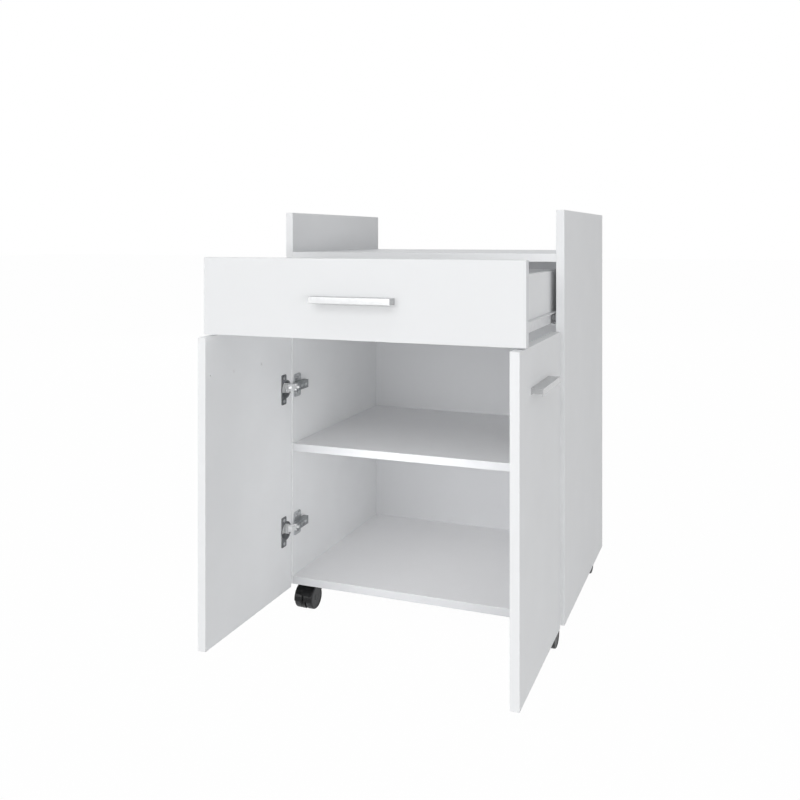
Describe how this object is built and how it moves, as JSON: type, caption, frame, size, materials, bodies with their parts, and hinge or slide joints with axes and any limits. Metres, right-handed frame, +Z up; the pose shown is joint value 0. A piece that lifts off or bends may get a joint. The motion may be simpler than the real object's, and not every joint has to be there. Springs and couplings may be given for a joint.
{
  "type": "microwave cart",
  "caption": "White kitchen cart on casters with raised side panels, a worktop, a wide drawer, a fixed shelf and a two-door cupboard.",
  "frame": {"origin": "centre of the footprint on the floor, with both doors open and the drawer pulled out as in the picture", "axes": "+X to the right seen from the front, +Y to the back, +Z up"},
  "size_m": [0.6332, 0.7534, 0.844],
  "materials": {
    "white_board": "satin white coated board",
    "hardwood": "bare turned wood",
    "white_pull": "white lacquer",
    "white_steel": "white epoxy",
    "white_screw": "white lacquer",
    "zinc": "zinc plated",
    "link_steel": "bright nickel",
    "dark_nickel": "dark nickel",
    "roller_nylon": "dark nylon",
    "hood_black": "glossy black",
    "wheel_black": "satin black"
  },
  "bodies": {
    "cabinet": {"left_side_panel": "white_board", "right_side_panel": "white_board", "worktop": "white_board", "bottom_panel": "white_board", "middle_shelf": "white_board", "back_panel": "white_board", "cam_locks": "zinc", "cam_bolts": "zinc", "wood_dowels": "hardwood", "left_cabinet_runner": "white_steel", "right_cabinet_runner": "white_steel", "cabinet_runner_screws": "zinc", "hinge_mounting_plates": "dark_nickel", "hinge_arms": "dark_nickel", "hinge_screws": "dark_nickel", "caster_plates": "zinc", "caster_plate_screws": "zinc"},
    "drawer": {"drawer_front": "white_board", "drawer_left_side": "white_board", "drawer_right_side": "white_board", "drawer_back": "white_board", "drawer_bottom": "white_board", "drawer_pull": "white_pull", "drawer_pull_screws": "white_screw", "drawer_box_screws": "zinc", "drawer_dowels": "hardwood", "left_drawer_runner": "white_steel", "right_drawer_runner": "white_steel", "drawer_runner_screws": "zinc"},
    "left_front_roller": {"left_cabinet_roller": "roller_nylon"},
    "left_rear_roller": {"left_drawer_roller": "roller_nylon"},
    "right_front_roller": {"right_cabinet_roller": "roller_nylon"},
    "right_rear_roller": {"right_drawer_roller": "roller_nylon"},
    "left_link_pair": {"left_outer_links": "link_steel"},
    "left_door_leaf": {"left_door": "white_board", "left_door_pull": "white_pull", "left_door_pull_screws": "white_screw", "left_hinge_cups": "dark_nickel", "left_cup_screws": "dark_nickel"},
    "left_inner_link_pair": {"left_inner_links": "link_steel"},
    "right_link_pair": {"right_outer_links": "link_steel"},
    "right_door_leaf": {"right_door": "white_board", "right_door_pull": "white_pull", "right_door_pull_screws": "white_screw", "right_hinge_cups": "dark_nickel", "right_cup_screws": "dark_nickel"},
    "right_inner_link_pair": {"right_inner_links": "link_steel"},
    "front_left_swivel": {"caster_hood_front_left": "hood_black"},
    "front_left_wheel_pair": {"caster_axle_front_left": "zinc", "caster_wheels_front_left": "wheel_black"},
    "front_right_swivel": {"caster_hood_front_right": "hood_black"},
    "front_right_wheel_pair": {"caster_axle_front_right": "zinc", "caster_wheels_front_right": "wheel_black"},
    "rear_left_swivel": {"caster_hood_rear_left": "hood_black"},
    "rear_left_wheel_pair": {"caster_axle_rear_left": "zinc", "caster_wheels_rear_left": "wheel_black"},
    "rear_right_swivel": {"caster_hood_rear_right": "hood_black"},
    "rear_right_wheel_pair": {"caster_axle_rear_right": "zinc", "caster_wheels_rear_right": "wheel_black"}
  },
  "joints": [
    {"name": "drawer_slide", "type": "slide", "parent": "cabinet", "child": "drawer", "axis": [0, 1, 0], "range_m": [-0.0279, 0.2721]},
    {"name": "left_front_roller_turn", "type": "hinge", "parent": "cabinet", "child": "left_front_roller", "pos_m": [-0.2773, -0.04825, 0.63845], "axis": [1, 0, 0], "continuous": true},
    {"name": "left_rear_roller_turn", "type": "hinge", "parent": "drawer", "child": "left_rear_roller", "pos_m": [-0.2773, 0.05115, 0.63595], "axis": [1, 0, 0], "continuous": true},
    {"name": "right_front_roller_turn", "type": "hinge", "parent": "cabinet", "child": "right_front_roller", "pos_m": [0.2773, -0.04825, 0.63845], "axis": [1, 0, 0], "continuous": true},
    {"name": "right_rear_roller_turn", "type": "hinge", "parent": "drawer", "child": "right_rear_roller", "pos_m": [0.2773, 0.05115, 0.63595], "axis": [1, 0, 0], "continuous": true},
    {"name": "left_link_turn", "type": "hinge", "parent": "cabinet", "child": "left_link_pair", "pos_m": [-0.271, -0.07245, 0.181], "axis": [0, 0, 1], "range_deg": [-49.68, 1.01]},
    {"name": "left_door_turn", "type": "hinge", "parent": "left_link_pair", "child": "left_door_leaf", "pos_m": [-0.2852, -0.0867, 0.181], "axis": [0, 0, 1], "range_deg": [-2.79, 139.66]},
    {"name": "left_inner_link_turn", "type": "hinge", "parent": "left_door_leaf", "child": "left_inner_link_pair", "pos_m": [-0.282, -0.08575, 0.181], "axis": [0, 0, 1], "range_deg": [-144.95, 2.95]},
    {"name": "right_link_turn", "type": "hinge", "parent": "cabinet", "child": "right_link_pair", "pos_m": [0.271, -0.07245, 0.181], "axis": [0, 0, -1], "range_deg": [-49.68, 1.01]},
    {"name": "right_door_turn", "type": "hinge", "parent": "right_link_pair", "child": "right_door_leaf", "pos_m": [0.2852, -0.0867, 0.181], "axis": [0, 0, -1], "range_deg": [-2.79, 139.66]},
    {"name": "right_inner_link_turn", "type": "hinge", "parent": "right_door_leaf", "child": "right_inner_link_pair", "pos_m": [0.282, -0.08575, 0.181], "axis": [0, 0, -1], "range_deg": [-144.95, 2.95]},
    {"name": "front_left_swivel_turn", "type": "hinge", "parent": "cabinet", "child": "front_left_swivel", "pos_m": [-0.26, -0.01825, 0.05], "axis": [0, 0, 1], "continuous": true},
    {"name": "front_left_wheel_pair_spin", "type": "hinge", "parent": "front_left_swivel", "child": "front_left_wheel_pair", "pos_m": [-0.26, -0.03825, 0.024], "axis": [1, 0, 0], "continuous": true},
    {"name": "front_right_swivel_turn", "type": "hinge", "parent": "cabinet", "child": "front_right_swivel", "pos_m": [0.26, -0.01825, 0.05], "axis": [0, 0, 1], "continuous": true},
    {"name": "front_right_wheel_pair_spin", "type": "hinge", "parent": "front_right_swivel", "child": "front_right_wheel_pair", "pos_m": [0.26, -0.03825, 0.024], "axis": [1, 0, 0], "continuous": true},
    {"name": "rear_left_swivel_turn", "type": "hinge", "parent": "cabinet", "child": "rear_left_swivel", "pos_m": [-0.26, 0.32775, 0.05], "axis": [0, 0, 1], "continuous": true},
    {"name": "rear_left_wheel_pair_spin", "type": "hinge", "parent": "rear_left_swivel", "child": "rear_left_wheel_pair", "pos_m": [-0.26, 0.34775, 0.024], "axis": [1, 0, 0], "continuous": true},
    {"name": "rear_right_swivel_turn", "type": "hinge", "parent": "cabinet", "child": "rear_right_swivel", "pos_m": [0.26, 0.32775, 0.05], "axis": [0, 0, 1], "continuous": true},
    {"name": "rear_right_wheel_pair_spin", "type": "hinge", "parent": "rear_right_swivel", "child": "rear_right_wheel_pair", "pos_m": [0.26, 0.34775, 0.024], "axis": [1, 0, 0], "continuous": true}
  ],
  "couplings": [
    {"joint": "left_front_roller_turn", "follows": "drawer_slide", "rad_per_m": -111.11},
    {"joint": "left_rear_roller_turn", "follows": "drawer_slide", "rad_per_m": -111.11},
    {"joint": "right_front_roller_turn", "follows": "drawer_slide", "rad_per_m": -111.11},
    {"joint": "right_rear_roller_turn", "follows": "drawer_slide", "rad_per_m": -111.11},
    {"joint": "left_link_turn", "follows": "left_door_turn", "ratio": -0.35557},
    {"joint": "left_inner_link_turn", "follows": "left_door_turn", "ratio": -1.0375},
    {"joint": "right_link_turn", "follows": "right_door_turn", "ratio": -0.35557},
    {"joint": "right_inner_link_turn", "follows": "right_door_turn", "ratio": -1.0375}
  ]
}
